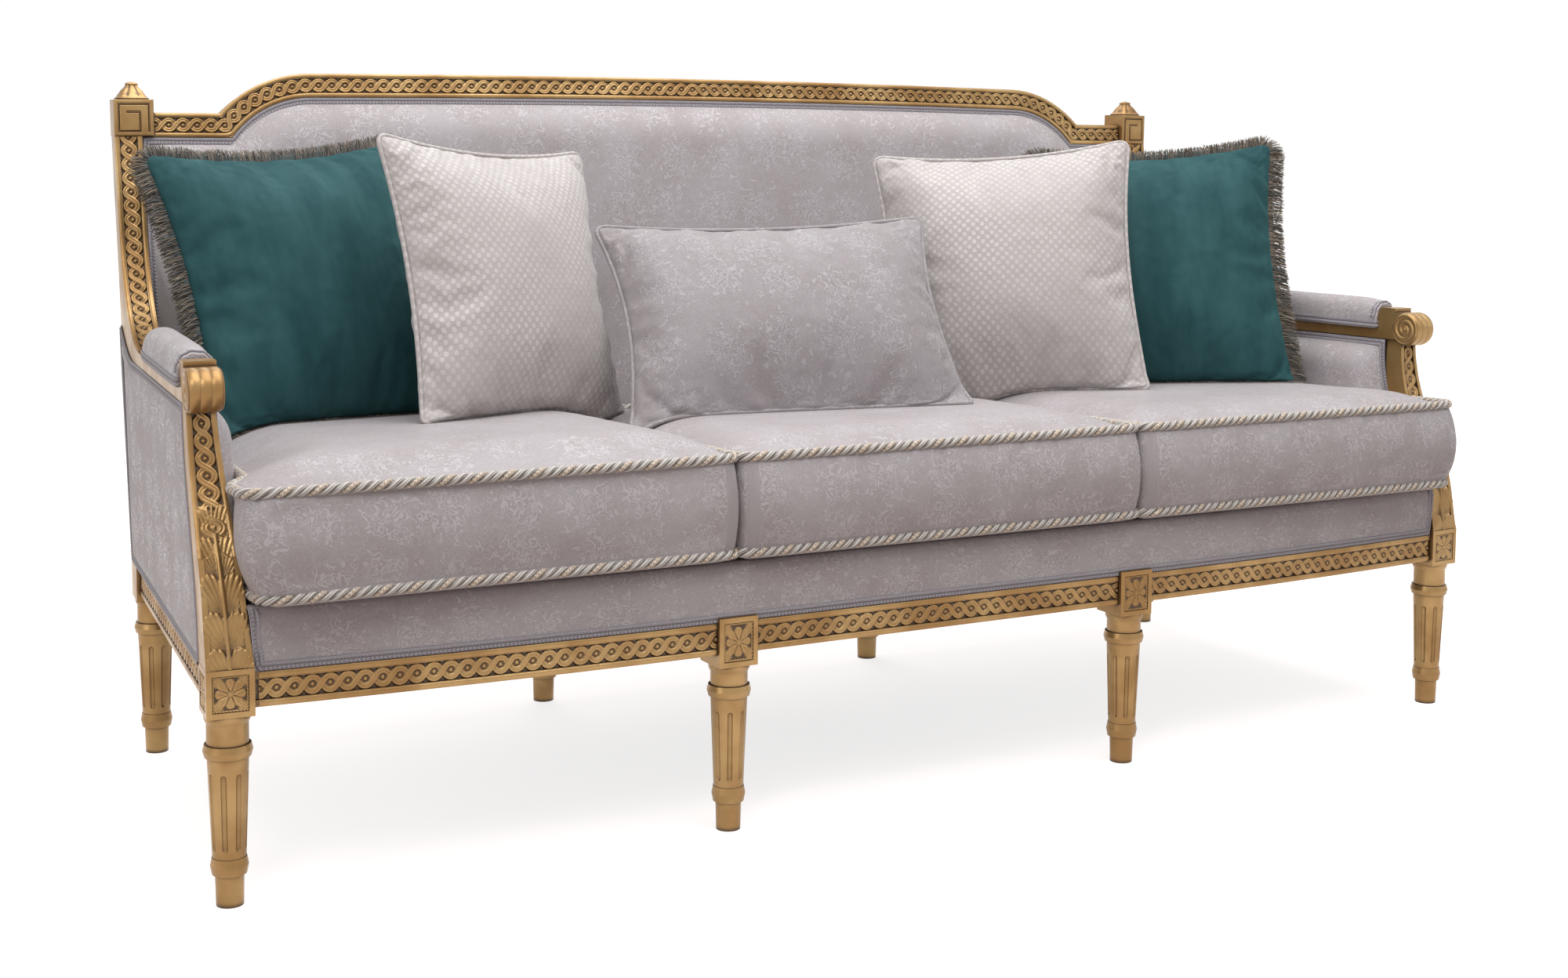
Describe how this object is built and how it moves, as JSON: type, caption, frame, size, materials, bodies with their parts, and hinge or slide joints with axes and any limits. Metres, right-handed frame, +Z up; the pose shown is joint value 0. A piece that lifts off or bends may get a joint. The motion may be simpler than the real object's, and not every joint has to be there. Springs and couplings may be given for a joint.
{
  "type": "carved sofa",
  "caption": "Carved gilt sofa with a raked back, swept padded arms and fluted legs, loose seat cushions that lift off and scatter pillows lying on them.",
  "frame": {"origin": "middle of the footprint on the floor", "axes": "+X to the right seen from the front, +Y to the back, +Z up"},
  "size_m": [2.057, 0.8846, 1.0356],
  "materials": {
    "gilt_wood": "matte antique gilding over carved wood, dark in the hollows",
    "inner_wood": "plain sanded beech",
    "damask": "silver grey woven damask with a satin figure",
    "gimp": "grey blue braided gimp",
    "teal_velvet": "teal velvet",
    "silver_check": "pale silver dotted check weave",
    "webbing": "jute webbing",
    "lining": "black lining cloth",
    "screw_steel": "plain steel"
  },
  "bodies": {
    "sofa_frame": {"apron_gimp": "gimp", "arm_pad_left": "damask", "arm_pad_right": "damask", "arm_post_left": "gilt_wood", "arm_post_right": "gilt_wood", "arm_rail_left": "gilt_wood", "arm_rail_right": "gilt_wood", "back_bottom_rail": "inner_wood", "back_cover_outer": "damask", "back_gimp": "gimp", "back_pad": "damask", "back_post_left": "gilt_wood", "back_post_right": "gilt_wood", "back_upright_left": "inner_wood", "back_upright_right": "inner_wood", "back_webbing": "webbing", "corner_block_screws": "screw_steel", "corner_blocks": "inner_wood", "crest_rail": "gilt_wood", "dust_cover": "lining", "finial_left": "gilt_wood", "finial_right": "gilt_wood", "front_rail_center": "gilt_wood", "front_rail_left": "gilt_wood", "front_rail_right": "gilt_wood", "leg_front_left": "gilt_wood", "leg_front_mid_left": "gilt_wood", "leg_front_mid_right": "gilt_wood", "leg_front_right": "gilt_wood", "leg_rear_left": "gilt_wood", "leg_rear_mid_left": "gilt_wood", "leg_rear_mid_right": "gilt_wood", "leg_rear_right": "gilt_wood", "rail_dowels": "inner_wood", "rear_rail_center": "gilt_wood", "rear_rail_left": "gilt_wood", "rear_rail_right": "gilt_wood", "seat_cross_rail_left": "inner_wood", "seat_cross_rail_right": "inner_wood", "seat_deck": "damask", "seat_webbing": "webbing", "side_pad_inner_left": "damask", "side_pad_inner_right": "damask", "side_panel_outer_left": "damask", "side_panel_outer_right": "damask", "side_rail_left": "gilt_wood", "side_rail_right": "gilt_wood"},
    "cushion_center": {"seat_cushion_center": "damask"},
    "cushion_left": {"seat_cushion_left": "damask"},
    "cushion_right": {"seat_cushion_right": "damask"},
    "pillow_velvet_left": {"pillow_velvet_left": "teal_velvet"},
    "pillow_check_left": {"pillow_check_left": "silver_check"},
    "pillow_lumbar": {"pillow_lumbar": "damask"},
    "pillow_check_right": {"pillow_check_right": "silver_check"},
    "pillow_velvet_right": {"pillow_velvet_right": "teal_velvet"}
  },
  "joints": [
    {"name": "cushion_center_lift", "type": "slide", "parent": "sofa_frame", "child": "cushion_center", "axis": [0, 0, 1], "range_m": [0, 0.33]},
    {"name": "cushion_left_lift", "type": "slide", "parent": "cushion_center", "child": "cushion_left", "axis": [0, 0, 1], "range_m": [0, 0.33]},
    {"name": "cushion_right_lift", "type": "slide", "parent": "cushion_center", "child": "cushion_right", "axis": [0, 0, 1], "range_m": [0, 0.33]},
    {"name": "pillow_velvet_left_lift", "type": "slide", "parent": "cushion_left", "child": "pillow_velvet_left", "axis": [0, 0, 1], "range_m": [0, 0.3]},
    {"name": "pillow_check_left_lift", "type": "slide", "parent": "pillow_velvet_left", "child": "pillow_check_left", "axis": [0, 0, 1], "range_m": [0, 0.3]},
    {"name": "pillow_lumbar_lift", "type": "slide", "parent": "pillow_check_left", "child": "pillow_lumbar", "axis": [0, 0, 1], "range_m": [0, 0.3]},
    {"name": "pillow_velvet_right_lift", "type": "slide", "parent": "cushion_right", "child": "pillow_velvet_right", "axis": [0, 0, 1], "range_m": [0, 0.3]},
    {"name": "pillow_check_right_lift", "type": "slide", "parent": "pillow_velvet_right", "child": "pillow_check_right", "axis": [0, 0, 1], "range_m": [0, 0.3]}
  ]
}
